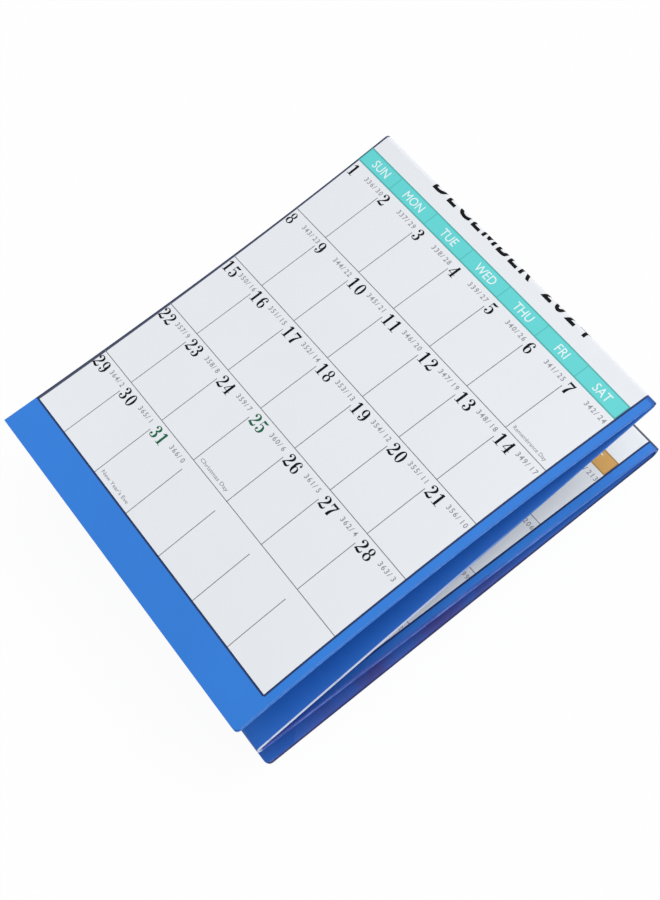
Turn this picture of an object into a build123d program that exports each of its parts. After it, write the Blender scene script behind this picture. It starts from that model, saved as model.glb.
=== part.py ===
from build123d import *

import os
from math import cos, radians, sin, sqrt

# A yearly wall calendar, folded up and lying on a table.
#
# It is one large laminated sheet, printed on the front with twelve months in
# three columns and four rows. The back is plain blue. The sheet is first folded
# like a fan along its two column creases, so that three plies lie on each other.
# The narrow stack is then folded in a zigzag along its three row creases, and it
# springs open a little. The last month of the year lies on top.
#
# Frame, in millimetres: X runs across the page, from its first weekday to its
# last. Y runs up the page. Z is up. The origin is at the middle of the base.
#
# The layers of the zigzag are counted from the table up, and so are the months
# that can be seen. The ink is modelled as thin films in a shallow recess of the
# printed face: a white ground, and over it the coloured bands and ruled lines,
# which come flush with the bare blue border.

# Sheet
sheet_thickness = 0.3
corner_radius = 3.0

# Print, measured on the flat sheet
months = ("march", "june", "september", "december")
weeks = 5
week_height = 39.2
header_height = 9.6
title_height = 27.2
days = 7
first_day_width = 24.6
day_width = 27.5
side_strip = 4.9
gutter = 0.8
bottom_strip = 19.5
top_margin = 7.7
line_width = 0.4
number_height = 6.6
ground_thickness = 0.025
overprint_thickness = 0.025

# Fan fold, across the page
ply_gap = 0.6
crease_overhang = 0.4
bend_flats = 4

# Zigzag fold, down the page: what each layer takes beyond a month, and how
# steeply the lower ones stand. The top layer leaves its crease level.
layer_excess = (7.2, 6.5, 4.8, 2.65)
layer_slopes = (0.0, 4.6, 7.7, 0.0)
crease_inner_radii = (2.4, 0.5, 0.5)

# Top layer: how far its foot stands above its crease, and how far it swells
# above that slope half way down the page, at its left, middle and loose edge.
# The swell is drawn as a net of flat facets.
foot_rise = 4.2
side_rises = (-3.7, 5.8)
middle_rise = 4.0
net_columns = 4
net_rows = 6

# Places on the page
grid_height = weeks * week_height
month_pitch = grid_height + header_height + title_height
layer_heights = [month_pitch + excess for excess in layer_excess]
sheet_height = sum(layer_heights)
page_width = first_day_width + (days - 1) * day_width
column_width = gutter + page_width + side_strip
left_side = -(column_width + crease_overhang) / 2
free_side = left_side + column_width
page_left = left_side + gutter
page_right = free_side - side_strip

# Places in the stack of plies
ply_pitch = sheet_thickness + ply_gap
half_stack = ply_pitch + sheet_thickness / 2
bend_radius = ply_pitch / 2
bend_reach = bend_radius + sheet_thickness / 2
left_bend_centre = left_side + bend_reach
right_bend_centre = free_side + crease_overhang - bend_reach
free_edges = ((free_side, ply_pitch), (left_side, -ply_pitch))
recess_depth = ground_thickness + overprint_thickness

# Angles by which the sheet turns at its row creases, left and right in turn
crease_radii = [half_stack + radius for radius in crease_inner_radii]
crease_turns = (
    180 - layer_slopes[0] - layer_slopes[1],
    -(180 - layer_slopes[1] - layer_slopes[2]),
    180 - layer_slopes[2] - layer_slopes[3],
)

# Length of sheet in each crease, and in each layer between its creases
crease_lengths = [radians(abs(turn)) * radius for turn, radius in zip(crease_turns, crease_radii)]
lengths_before = [0.0] + crease_lengths
lengths_after = crease_lengths + [0.0]
run_lengths = [
    height - (before + after) / 2
    for height, before, after in zip(layer_heights, lengths_before, lengths_after)
]
top_reach = sqrt(run_lengths[-1] ** 2 - foot_rise**2)


def fold_lines(start):
    """The middle ply's runs and creases in turn, from the sheet's top edge to its last crease."""
    with BuildLine(Plane.YZ):
        lines = [PolarLine((start, half_stack), run_lengths[0], angle=layer_slopes[0])]
        for radius, turn, length in zip(crease_radii, crease_turns, run_lengths[1:]):
            lines.append(JernArc(lines[-1] @ 1, lines[-1] % 1, radius, turn))
            if len(lines) < 2 * len(crease_turns):
                lines.append(PolarLine(lines[-1] @ 1, length, direction=lines[-1] % 1))
    return lines


def across(run, place=0.0):
    """Plane square to a run, with X across the page and Y towards the printed side."""
    return Plane(origin=run @ place, x_dir=(1, 0, 0), z_dir=run % place)


# The stack is centred between its furthest creases and edges along Y
trial_creases = fold_lines(0.0)[1::2]
crease_reach = [radius + half_stack for radius in crease_radii]
far_end = max(bend.arc_center.Y + reach for bend, reach in zip(trial_creases, crease_reach))
near_crease = trial_creases[1].arc_center.Y - crease_reach[1]
near_end = min(0.0, near_crease, (trial_creases[-1] @ 1).Y - top_reach)
fold_edges = fold_lines(-(near_end + far_end) / 2)
runs = fold_edges[::2]
fold = Wire(fold_edges)
top_start = fold @ 1
well_above = 2 * top_start.Z

# Height on the flat sheet at which each layer's run starts
run_tops = []
for layer, before in enumerate(lengths_before):
    run_tops.append(sheet_height - sum(layer_heights[:layer]) - before / 2)


def stretch(layer, high, low):
    """Part of a lower layer's run between two heights on the flat sheet."""
    begin = (run_tops[layer] - high) / run_lengths[layer]
    end = (run_tops[layer] - low) / run_lengths[layer]
    return runs[layer].trim(begin, end)


def top_place(height):
    """Place along Y, in the top layer, of a height on the flat sheet."""
    return top_start.Y - top_reach * (run_tops[-1] - height) / run_lengths[-1]


def net_point(column, row):
    """Corner of the top layer's facets, on its middle ply."""
    x = left_bend_centre + (right_bend_centre - left_bend_centre) * column / net_columns
    across_page = 2 * column / net_columns - 1
    down = row / net_rows
    tilt = (side_rises[1] - side_rises[0]) / 2
    arch = (side_rises[1] + side_rises[0]) / 2 - middle_rise
    swell = middle_rise + tilt * across_page + arch * across_page**2
    rise = foot_rise * down + 4 * down * (1 - down) * swell
    return Vector(x, top_start.Y - top_reach * down, top_start.Z + rise)


def net_slab(offset, thickness):
    """Slab over the whole net of facets, from a height above the middle ply."""
    facets = []
    for row in range(net_rows):
        for column in range(net_columns):
            corners = [net_point(column + i, row + j) for i, j in ((0, 0), (1, 0), (1, 1), (0, 1))]
            lifted = [corner + Vector(0, 0, offset) for corner in corners]
            facets.append(Face(Wire.make_polygon(lifted[:3])))
            facets.append(Face(Wire.make_polygon(lifted[2:] + lifted[:1])))
    with BuildPart() as slab:
        extrude(facets, amount=thickness, dir=(0, 0, 1))
    return slab.part


def top_film(strips, depth, thickness):
    """Ink on the top layer, in strips with their ends up the page and their sides across it."""
    slab = net_slab(half_stack - depth - thickness, thickness)
    with BuildPart() as ink:
        with BuildSketch():
            for high, low, left, right in strips:
                with Locations(((left + right) / 2, top_place((high + low) / 2))):
                    Rectangle(right - left, top_place(high) - top_place(low))
        extrude(amount=well_above)
        add(slab, mode=Mode.INTERSECT)
    return ink.part


def grid_bottom(layer):
    """Height on the flat sheet of the foot of a month's grid."""
    return bottom_strip + (len(months) - 1 - layer) * month_pitch


def film(path, left, right, depth, thickness):
    """Sweep a strip of ink along a path, its outer face at a depth below the printed side."""
    with BuildSketch(across(path)) as strip:
        with Locations(((left + right) / 2, half_stack - depth - thickness / 2)):
            Rectangle(right - left, thickness)
    sweep(strip.sketch, path=path, transition=Transition.RIGHT)


def films(layer, strips, depth, thickness):
    """Ink on any layer, in strips with their ends up the page and their sides across it."""
    if layer == len(months) - 1:
        return top_film(strips, depth, thickness)
    with BuildPart() as ink:
        for high, low, left, right in strips:
            film(stretch(layer, high, low), left, right, depth, thickness)
    return ink.part


def grid_strips(layer):
    """Ruled lines of a month: each as its ends up the page and its sides across it."""
    half_line = line_width / 2
    strips = []
    for week in range(weeks):
        foot = grid_bottom(layer) + week * week_height
        head = foot + week_height
        if week > 0:
            strips.append((foot + half_line, foot - half_line, page_left, page_right))
            foot += half_line
        for day in range(days - 1):
            middle = page_left + first_day_width + day * day_width
            strips.append((head - number_height, foot, middle - half_line, middle + half_line))
    return strips


def bend_points(centre, height, side):
    """Points round a fold between two plies, from the upper one to the lower one."""
    angles = [radians(180 * step / bend_flats) for step in range(bend_flats + 1)]
    return [(centre + side * bend_radius * sin(a), height + bend_radius * cos(a)) for a in angles]


# Coloured band for the weekdays, one on each of the four pages
header_bands = []
for layer, month in enumerate(months):
    band_foot = grid_bottom(layer) + grid_height
    band_strip = (band_foot + header_height, band_foot, page_left, page_right)
    header_band = films(layer, [band_strip], 0.0, overprint_thickness)
    header_band.label = f"header_band_{month}"
    header_bands.append(header_band)

# Ruled grid, one on each page
grids = []
for layer, month in enumerate(months):
    grid_lines = films(layer, grid_strips(layer), 0.0, overprint_thickness)
    grid_lines.label = f"grid_lines_{month}"
    grids.append(grid_lines)

# White ground, which runs on round the creases from page to page
first_field = stretch(0, sheet_height - top_margin, run_tops[0] - run_lengths[0])
field_path = Wire([first_field] + fold_edges[1:])
top_field = (run_tops[-1], bottom_strip, page_left, page_right)
top_ground = top_film([top_field], overprint_thickness, ground_thickness)
with BuildPart() as white_ground:
    film(field_path, page_left, page_right, overprint_thickness, ground_thickness)
    add(top_ground)
white_ground.part.label = "white_ground"

top_recess = top_film([top_field], 0.0, recess_depth)
with BuildPart() as recess:
    film(field_path, page_left, page_right, 0.0, recess_depth)
    add(top_recess)

# Sheet, one piece: the fan fold's section carried along the zigzag as far as the
# last crease, and from there on down the swelling top layer
with BuildSketch() as fan_fold:
    with BuildLine():
        left_bend = bend_points(left_bend_centre, bend_radius, -1)
        right_bend = bend_points(right_bend_centre, -bend_radius, 1)
        Polyline(free_edges[0], *left_bend, *right_bend, free_edges[1])
    trace(line_width=sheet_thickness)

with BuildPart() as lower_layers:
    with BuildSketch(across(fold)):
        add(fan_fold.sketch_local)
    sweep(path=fold, transition=Transition.RIGHT)
    head = across(fold)
    head_face = lower_layers.faces().sort_by_distance(head.origin)[0]
    head_places = [head.from_local_coords(place) for place in free_edges]
    fillet([head_face.edges().sort_by_distance(p)[0] for p in head_places], radius=corner_radius)

top_plies = [net_slab(ply * ply_pitch - sheet_thickness / 2, sheet_thickness) for ply in (-1, 0, 1)]
with BuildPart() as fan_edges:
    for column, side in ((0, -1), (net_columns, 1)):
        for row in range(net_rows):
            near, far = net_point(column, row), net_point(column, row + 1)
            with BuildSketch(Plane((0, near.Y, near.Z), x_dir=(1, 0, 0), z_dir=(0, -1, 0))):
                add(fan_fold.sketch_local)
                with Locations((near.X + side * bend_reach, 0)):
                    Rectangle(2 * bend_reach, 4 * half_stack, mode=Mode.INTERSECT)
            extrude(amount=(far - near).length, dir=far - near)

# Rounded corners of the top layer's two loose edges at its foot
with BuildPart() as foot_corners:
    for (place, height), column, side in zip(free_edges, (net_columns, 0), (1, -1)):
        foot = net_point(column, net_rows)
        with BuildSketch(Plane.XY.offset(foot.Z + side * bend_radius)):
            with Locations((place - side * corner_radius / 2, foot.Y + corner_radius / 2)):
                Rectangle(corner_radius, corner_radius)
            with Locations((place - side * corner_radius, foot.Y + corner_radius)):
                Circle(corner_radius, mode=Mode.SUBTRACT)
        extrude(amount=side * half_stack)

with BuildPart() as calendar_sheet:
    add(lower_layers.part)
    add(top_plies + [fan_edges.part])
    add(foot_corners.part, mode=Mode.SUBTRACT)
    add(recess.part, mode=Mode.SUBTRACT)
calendar_sheet.part.label = "calendar_sheet"

os.makedirs("parts", exist_ok=True)
for piece in [calendar_sheet.part, white_ground.part] + header_bands + grids:
    export_step(piece, f"parts/{piece.label}.step")
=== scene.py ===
# A yearly wall calendar, folded up and lying on a pale table: the finish of its sheet and its print.
from math import atan2, cos, exp, floor, hypot, pi, radians, sin, sqrt

import bmesh
import bpy
from mathutils import Matrix, Vector


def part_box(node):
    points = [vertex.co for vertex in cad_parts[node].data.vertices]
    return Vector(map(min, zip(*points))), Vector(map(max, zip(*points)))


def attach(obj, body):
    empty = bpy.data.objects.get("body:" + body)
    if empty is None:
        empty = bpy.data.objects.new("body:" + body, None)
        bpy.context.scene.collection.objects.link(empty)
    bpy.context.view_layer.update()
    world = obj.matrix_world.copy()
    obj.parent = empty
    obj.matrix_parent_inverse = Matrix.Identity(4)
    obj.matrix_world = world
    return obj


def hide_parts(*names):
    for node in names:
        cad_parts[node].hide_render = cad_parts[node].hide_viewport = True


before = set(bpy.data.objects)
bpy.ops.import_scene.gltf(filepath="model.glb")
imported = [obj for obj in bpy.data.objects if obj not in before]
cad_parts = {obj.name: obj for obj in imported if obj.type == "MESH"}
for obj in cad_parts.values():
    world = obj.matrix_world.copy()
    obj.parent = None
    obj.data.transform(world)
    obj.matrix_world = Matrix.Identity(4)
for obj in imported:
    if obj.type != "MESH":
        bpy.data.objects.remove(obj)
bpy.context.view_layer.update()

# One millimetre, in Blender's metres. The sheet's own sizes below are in millimetres.
MM = 0.001

# What is printed on the months that can be seen, from the lowest layer up
YEAR = 2024
MONTHS = ("march", "june", "september", "december")
FIRST_WEEKDAYS = (5, 6, 0, 0)
MONTH_DAYS = (31, 30, 30, 31)
DAYS_BEFORE_MONTH = (60, 152, 244, 335)
YEAR_DAYS = 366
WEEKDAYS = ("SUN", "MON", "TUE", "WED", "THU", "FRI", "SAT")
NOTES = {
    "march": {17: "St Patrick's Day", 19: "First Day of Spring"},
    "june": {16: "Father's Day", 20: "First Day of Summer"},
    "september": {2: "Labor Day", 22: "First Day of Autumn"},
    "december": {7: "Remembrance Day", 25: "Christmas Day", 31: "New Year's Eve"},
}
GREEN_DAYS = {"march": (31,), "june": (19,), "september": (2,), "december": (25, 31)}

# The print's fields on the flat sheet, with heights from the sheet's foot
WEEKS = 5
WEEK_HEIGHT = 39.2
HEADER_HEIGHT = 9.6
TITLE_HEIGHT = 27.2
DAYS = 7
FIRST_DAY_WIDTH = 24.6
DAY_WIDTH = 27.5
SIDE_STRIP = 4.9
GUTTER = 0.8
BOTTOM_STRIP = 19.5
GRID_HEIGHT = WEEKS * WEEK_HEIGHT
MONTH_PITCH = GRID_HEIGHT + HEADER_HEIGHT + TITLE_HEIGHT

# How finely curves are drawn in type, from small figures to titles, and in the digits
COARSE_TYPE, PLAIN_TYPE, FINE_TYPE = 2, 3, 4
STROKE_STEPS = 4
OVAL_POINTS = 18
BALL_POINTS = 12

# Type: numerals, day counts and notes from a cell's left side and its head or foot
DIGIT_HEIGHT = 6.5
DIGIT_WIDENING = 1.14
DIGIT_PITCH = 5.15
DIGIT_BODY = 0.62
STROKE_WIDENING = 1.12
STROKE_SPREAD = 0.012
NUMERAL_INSET = 0.9
NUMERAL_DROP = 8.6
FIGURE_SIZE = 3.7
FIGURE_BOLD = 0.05
FIGURE_PITCH = 2.3
FIGURE_DROP = 5.3
FIGURES_BEFORE_END = 7.7
FIGURES_AFTER_START = 18.2
NOTE_SIZE = 2.75
NOTE_BOLD = 0.02
NOTE_LENGTH = 22.0
NOTE_WIDENING = 1.3
NOTE_INSET = 1.9
NOTE_RISE = 2.3

# Type: weekday names from their band's foot, and titles from its head
NAME_SIZE = 5.9
NAME_HEIGHTENING = 1.13
NAME_SHIFT = 0.6
NAME_RISE = 2.5
TITLE_SIZE = 10.5
TITLE_BOLD = 0.22
TITLE_GAP = 2.0
TITLE_SPACE = 6.8
TITLE_WIDENING = 1.25
TITLE_MIDDLE = -2.6
TITLE_RISE = 7.4
CAPITAL_HEIGHT = 7.35

# Sheet and its two folds
SHEET_THICKNESS = 0.3
PLY_GAP = 0.6
CREASE_OVERHANG = 0.4
LAYER_EXCESS = (7.2, 6.5, 4.8, 2.65)
LAYER_HEIGHTS = [MONTH_PITCH + excess for excess in LAYER_EXCESS]
LAYER_SLOPES = (0.0, 4.6, 7.7, 0.0)
CREASE_INNER_RADII = (2.4, 0.5, 0.5)
PLY_PITCH = SHEET_THICKNESS + PLY_GAP
HALF_STACK = PLY_PITCH + SHEET_THICKNESS / 2
SHEET_HEIGHT = sum(LAYER_HEIGHTS)
PAGE_WIDTH = FIRST_DAY_WIDTH + (DAYS - 1) * DAY_WIDTH
COLUMN_WIDTH = GUTTER + PAGE_WIDTH + SIDE_STRIP
HALF_WIDTH = (COLUMN_WIDTH + CREASE_OVERHANG) / 2
LEFT_SIDE = -HALF_WIDTH
FREE_SIDE = LEFT_SIDE + COLUMN_WIDTH
PAGE_LEFT = LEFT_SIDE + GUTTER
PAGE_RIGHT = FREE_SIDE - SIDE_STRIP
BEND_REACH = (PLY_PITCH + SHEET_THICKNESS) / 2
NET_HALF = HALF_WIDTH - BEND_REACH

# Top layer: the rise of its foot, and its swell at the left, middle and right, drawn in the solid as
# flat facets
FOOT_RISE = 4.2
SIDE_SWELLS = (-3.7, 5.8)
MIDDLE_SWELL = 4.0
NET_COLUMNS = 4
NET_ROWS = 6

# What the sprung top layer has beyond its swell: a loose corner that hangs, and a slack middle
CURL_DROP = 1.115
CURL_SPREAD = (0.08, 0.05)
SLACK = (-0.04, 0.03, 0.04)
LATE_SWELL = 0.692
HEAD_TILT = 0.089
FOOT_TILT = 0.348

# The zigzag's creases: their radii, turns, lengths and places on the flat sheet
CREASE_RADII = [HALF_STACK + radius for radius in CREASE_INNER_RADII]
CREASE_TURNS = (
    pi - radians(LAYER_SLOPES[0] + LAYER_SLOPES[1]),
    -(pi - radians(LAYER_SLOPES[1] + LAYER_SLOPES[2])),
    pi - radians(LAYER_SLOPES[2] + LAYER_SLOPES[3]),
)
CREASE_LENGTHS = [abs(turn) * radius for turn, radius in zip(CREASE_TURNS, CREASE_RADII)]
CREASE_HEIGHTS = [SHEET_HEIGHT - sum(LAYER_HEIGHTS[:count]) for count in (1, 2, 3)]
LOWEST_CREASE, MIDDLE_CREASE, TOP_CREASE = CREASE_HEIGHTS
TOP_RUN = LAYER_HEIGHTS[-1] - CREASE_LENGTHS[-1] / 2
TOP_REACH = sqrt(TOP_RUN ** 2 - FOOT_RISE ** 2)

# How finely the sheet is cut so that it bends softly, and how far its top layer is clear of the one
# under it
COARSE_CUTS = 16.0
FINE_CUTS = 5.0
CORNER_CUTS = (0.3, 0.8, 1.4, 2.1, 2.8, 3.4)
CREASE_CUTS = 0.2
CUTS_BESIDE_CREASE = 13
CLEAR_OF_UNDER_LAYER = 1.6
SMOOTH_ANGLE = radians(50)

# How near counts as touching: on the copied mesh in metres, and on the fold and in print in millimetres
POINTS_TOUCH = 1e-6
CUT_TOUCHES = 1e-7
STRETCH_TOUCHES = 1e-6
CLEARLY_NEARER = 1e-4
INK_TOUCHES = 0.002

# Worn corners: their radii at the sheet's foot and head, how far out the worn plies reach, and where
# the lowest layer's corner lies
FOOT_CORNER = 2.4
HEAD_CORNER = 3.4
WORN_PLIES = 0.6
LOWEST_LAYER_TOP = 3.0
WORN_REACH = 12.0
WORN_CORNER_Y = -108.0

# Where each layer of print stands, out from the middle ply, and how thick the drawn print is
PAGE_SUNK = 0.005
PAGE_LEVEL = HALF_STACK - PAGE_SUNK
GROUND_RAISED = 0.02
OVERPRINT_RAISED = 0.03
INK_THICKNESS = 0.045
INK_SUNK = 0.015
INK_BASE = PAGE_LEVEL - INK_SUNK
BAND_INK_BASE = HALF_STACK + OVERPRINT_RAISED - INK_SUNK

# Camera, from the grid's corners in the photograph of 660 by 900 pixels
IMAGE_HEIGHT = 900
FOCAL_PIXELS = 1531.75
CAMERA_PLACE = Vector((307.57, -76.35, 699.85)) * MM
CAMERA_RIGHT = Vector((0.59244, 0.78379, -0.18577))
CAMERA_DOWN = Vector((0.69194, -0.61332, -0.38147))
CAMERA_FORWARD = Vector((-0.41182, 0.09775, -0.90614))
SENSOR_HEIGHT = 24.0
NEAREST_SEEN = 0.02

# Table, room and light
TABLE_SIZE = 8
TABLE_LEVEL = -0.1 * MM
TABLE_GREY = (0.9, 0.9, 0.9)
TABLE_WHITENESS = 0.95
ROOM_LIGHT = 0.5
SUN_TOWARDS = Vector((0.22, 0.55, 1.0))
SUN_STRENGTH = 1.76
SUN_SPREAD = radians(42)


# Places on the flat sheet

def grid_foot(layer):
    """Height of the foot of a month's grid on the flat sheet."""
    return BOTTOM_STRIP + (len(MONTHS) - 1 - layer) * MONTH_PITCH


def band_foot(layer):
    return grid_foot(layer) + GRID_HEIGHT


def day_left(weekday):
    """Left side of a weekday's column; the first column is narrower than the others."""
    return PAGE_LEFT if weekday == 0 else PAGE_LEFT + FIRST_DAY_WIDTH + (weekday - 1) * DAY_WIDTH


def day_width(weekday):
    return FIRST_DAY_WIDTH if weekday == 0 else DAY_WIDTH


# The fold, from the flat sheet to space and back

def stretch(start, length, turn):
    """A line or arc of the fold: its start and heading, length and turn, and its end and heading."""
    y, z, heading = start
    if turn == 0:
        end = (y + length * cos(heading), z + length * sin(heading), heading)
    else:
        radius = length / turn
        end = (
            y + radius * (sin(heading + turn) - sin(heading)),
            z - radius * (cos(heading + turn) - cos(heading)),
            heading + turn,
        )
    return {"start": start, "length": length, "turn": turn, "end": end}


def fold_stretches():
    """The middle ply from the sheet's top edge to its last crease."""
    place = (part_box("calendar_sheet")[0].y / MM, HALF_STACK, 0.0)
    before = 0.0
    pieces = []
    travelled = 0.0
    for height, crease, turn in zip(LAYER_HEIGHTS, CREASE_LENGTHS, CREASE_TURNS):
        for length, bend in ((height - (before + crease) / 2, 0.0), (crease, turn)):
            piece = stretch(place, length, bend)
            piece["from"] = travelled
            pieces.append(piece)
            place = piece["end"]
            travelled += length
        before = crease
    return pieces


STRETCHES = fold_stretches()
TOP_Y, TOP_Z, _ = STRETCHES[-1]["end"]
UNDER_LAYER = STRETCHES[-2]


def stretch_at(travelled):
    """The line or arc of the fold that a point lies on, by its way from the sheet's head."""
    return [piece for piece in STRETCHES if piece["from"] <= max(travelled, 0.0) + STRETCH_TOUCHES][-1]


def swell(across, down):
    """Height of the top layer above its crease, from its left (-1) to its right (1) and down the page."""
    tilt = (SIDE_SWELLS[1] - SIDE_SWELLS[0]) / 2
    arch = (SIDE_SWELLS[1] + SIDE_SWELLS[0]) / 2 - MIDDLE_SWELL
    bowl = 4 * down * (1 - down)
    return FOOT_RISE * down + bowl * (MIDDLE_SWELL + tilt * across + arch * across ** 2)


def net_height(x, down):
    """Height of the solid's flat facets above the last crease."""
    column = min(max((x + NET_HALF) / (2 * NET_HALF), 0.0), 1.0) * NET_COLUMNS
    row = min(max(down, 0.0), 1.0) * NET_ROWS
    left = min(floor(column), NET_COLUMNS - 1)
    head = min(floor(row), NET_ROWS - 1)
    corner = {}
    for i in (0, 1):
        for j in (0, 1):
            corner[i, j] = swell(2 * (left + i) / NET_COLUMNS - 1, (head + j) / NET_ROWS)
    across, along = column - left, row - head
    if across >= along:
        return corner[0, 0] + across * (corner[1, 0] - corner[0, 0]) + along * (corner[1, 1] - corner[1, 0])
    return corner[0, 0] + along * (corner[0, 1] - corner[0, 0]) + across * (corner[1, 1] - corner[0, 1])


def top_lift(x, down):
    """What the sprung top layer has beyond its plain swell: a lower loose corner and a slack middle."""
    across = x / HALF_WIDTH
    bowl = 4 * down * (1 - down)
    curl = exp(-((across - 1) ** 2) / CURL_SPREAD[0] - down ** 2 / CURL_SPREAD[1])
    slack = SLACK[0] + SLACK[1] * across + SLACK[2] * across ** 2
    spring = bowl * (slack - LATE_SWELL * (1 - 2 * down))
    return spring - CURL_DROP * curl + across * (HEAD_TILT * (1 - down) - FOOT_TILT * down)


def lift(x, height):
    """How far a point of the sheet stands above the plain fold, by its place on the flat sheet."""
    if height <= TOP_CREASE:
        return top_lift(x, (TOP_CREASE - height) / TOP_CREASE)
    past = min((height - TOP_CREASE) / LAYER_HEIGHTS[2], 1.0)
    return top_lift(x, 0.0) * (1 - past) ** 2


def on_sheet(x, height, out):
    """Place in space of a point of the folded sheet, out towards the printed side of its middle ply."""
    if height <= TOP_RUN:
        down = 1 - height / TOP_RUN
        across = min(max(x / NET_HALF, -1.0), 1.0)
        y = TOP_Y - TOP_REACH * down
        z = TOP_Z + swell(across, down) + out
    else:
        travelled = SHEET_HEIGHT - height
        piece = stretch_at(travelled)
        along = travelled - piece["from"]
        share = along / piece["length"]
        y, z, heading = stretch(piece["start"], along, piece["turn"] * share)["end"]
        y += out * sin(heading)
        z -= out * cos(heading)
    return Vector((x, y, z + lift(x, height))) * MM


def unfold(x, y, z):
    """Height on the flat sheet of a point of the solid, and its distance out from the middle ply."""
    down = (TOP_Y - y) / TOP_REACH
    out = z - TOP_Z - net_height(x, down)
    slip = max(-down, down - 1, 0.0) * TOP_REACH
    found = (slip + max(abs(out) - HALF_STACK, 0.0), SHEET_HEIGHT - TOP_RUN * (1 - down), out)
    for piece in STRETCHES:
        start_y, start_z, heading = piece["start"]
        away_y, away_z = y - start_y, z - start_z
        if piece["turn"] == 0:
            along = away_y * cos(heading) + away_z * sin(heading)
            out = away_y * sin(heading) - away_z * cos(heading)
        else:
            side = 1 if piece["turn"] > 0 else -1
            radius = piece["length"] / abs(piece["turn"])
            from_y = away_y + side * radius * sin(heading)
            from_z = away_z - side * radius * cos(heading)
            angle = side * (atan2(from_z, from_y) - heading) + pi / 2
            angle = (angle + pi / 2) % (2 * pi) - pi / 2
            along = angle * radius
            out = side * (hypot(from_y, from_z) - radius)
        slip = max(-along, along - piece["length"], 0.0)
        miss = slip + max(abs(out) - HALF_STACK, 0.0)
        if miss < found[0] - CLEARLY_NEARER:
            found = (miss, piece["from"] + along, out)
    return SHEET_HEIGHT - found[1], found[2]


# Pieces of the scene

def clear_selection():
    for thing in bpy.context.selected_objects:
        thing.select_set(False)


def only(piece):
    """Select one piece alone and make it the active one."""
    clear_selection()
    piece.select_set(True)
    bpy.context.view_layer.objects.active = piece


def smooth(piece):
    only(piece)
    bpy.ops.object.shade_smooth_by_angle(angle=SMOOTH_ANGLE)
    piece.select_set(False)


def new_piece(name, mesh, material):
    """Object for a finished mesh, riding on the sheet."""
    mesh.name = name
    piece = bpy.data.objects.new(name, mesh)
    bpy.context.scene.collection.objects.link(piece)
    mesh.materials.clear()
    mesh.materials.append(material)
    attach(piece, "root")
    return piece


def cut_at(shape, axis, places, chosen=None):
    """Cut a mesh across one axis at each place, all over or only in the chosen faces."""
    direction = [0, 0, 0]
    direction[axis] = 1
    for place in places:
        point = [0, 0, 0]
        point[axis] = place
        faces = [face for face in shape.faces if chosen is None or chosen(face)]
        edges = {edge for face in faces for edge in face.edges}
        verts = {vert for face in faces for vert in face.verts}
        everything = list(verts) + list(edges) + faces
        bmesh.ops.bisect_plane(shape, geom=everything, dist=CUT_TOUCHES, plane_co=point, plane_no=direction)


def even_places(low, high, pitch):
    """Evenly spaced cutting places inside two ends."""
    count = max(round((high - low) / pitch), 1)
    return [low + (high - low) * step / count for step in range(1, count)]


def on_top_layer(face):
    """Tell a face of the sheet's top layer, which lies clear above the layer under it."""
    middle = face.calc_center_median()
    under_y, under_z, under_slope = UNDER_LAYER["start"]
    slope_z = under_z + (middle.y / MM - under_y) * sin(under_slope) / cos(under_slope)
    return middle.y < TOP_Y * MM and middle.z > (slope_z + CLEAR_OF_UNDER_LAYER) * MM


def blunted(x, height, out):
    """Round off the worn corners of the fold's lower plies, at its foot and at its head."""
    for end, inward, radius in ((0.0, 1, FOOT_CORNER), (SHEET_HEIGHT, -1, HEAD_CORNER)):
        short_x = radius - (HALF_WIDTH - x)
        short_y = radius - inward * (height - end)
        if out <= WORN_PLIES and short_x > 0 and short_y > 0:
            keep = max(short_x, short_y) / hypot(short_x, short_y)
            return HALF_WIDTH - radius + short_x * keep, end + inward * (radius - short_y * keep)
    return x, height


def at_lowest_corner(face):
    """Tell a face of the lowest layer near its loose corner at the head of the sheet."""
    middle = face.calc_center_median()
    return (
        middle.z < LOWEST_LAYER_TOP * MM
        and middle.x > (HALF_WIDTH - WORN_REACH) * MM
        and middle.y < WORN_CORNER_Y * MM
    )


def inside(places, low, high):
    return [place for place in places if low < place < high]


def cut_finely(shape, node):
    """Cut a node's copy so that it can bend: coarsely all over, and finely on the top layer."""
    low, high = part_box("calendar_sheet")
    node_low, node_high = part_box(node)
    if node_high.z > TOP_Z * MM / 2:
        wide = [place * MM for place in even_places(low.x / MM, high.x / MM, COARSE_CUTS)]
        tall = [place * MM for place in even_places(low.y / MM, high.y / MM, COARSE_CUTS)]
        cut_at(shape, 0, inside(wide, node_low.x, node_high.x))
        cut_at(shape, 1, inside(tall, node_low.y, node_high.y))
    if node_high.z > TOP_Z * MM:
        wide = [place * MM for place in even_places(-HALF_WIDTH, HALF_WIDTH, FINE_CUTS)]
        tall = [(TOP_Y - place) * MM for place in even_places(0.0, TOP_REACH, FINE_CUTS)]
        if node == "calendar_sheet":
            beside_fold = [(HALF_WIDTH - place) * MM for place in CORNER_CUTS]
            wide += beside_fold
            tall += [(TOP_Y - TOP_REACH + place) * MM for place in CORNER_CUTS]
            cut_at(shape, 0, beside_fold, at_lowest_corner)
            cut_at(shape, 1, [low.y + place * MM for place in CORNER_CUTS], at_lowest_corner)
        cut_at(shape, 0, inside(wide, node_low.x, node_high.x), on_top_layer)
        cut_at(shape, 1, inside(tall, node_low.y, node_high.y), on_top_layer)


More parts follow.
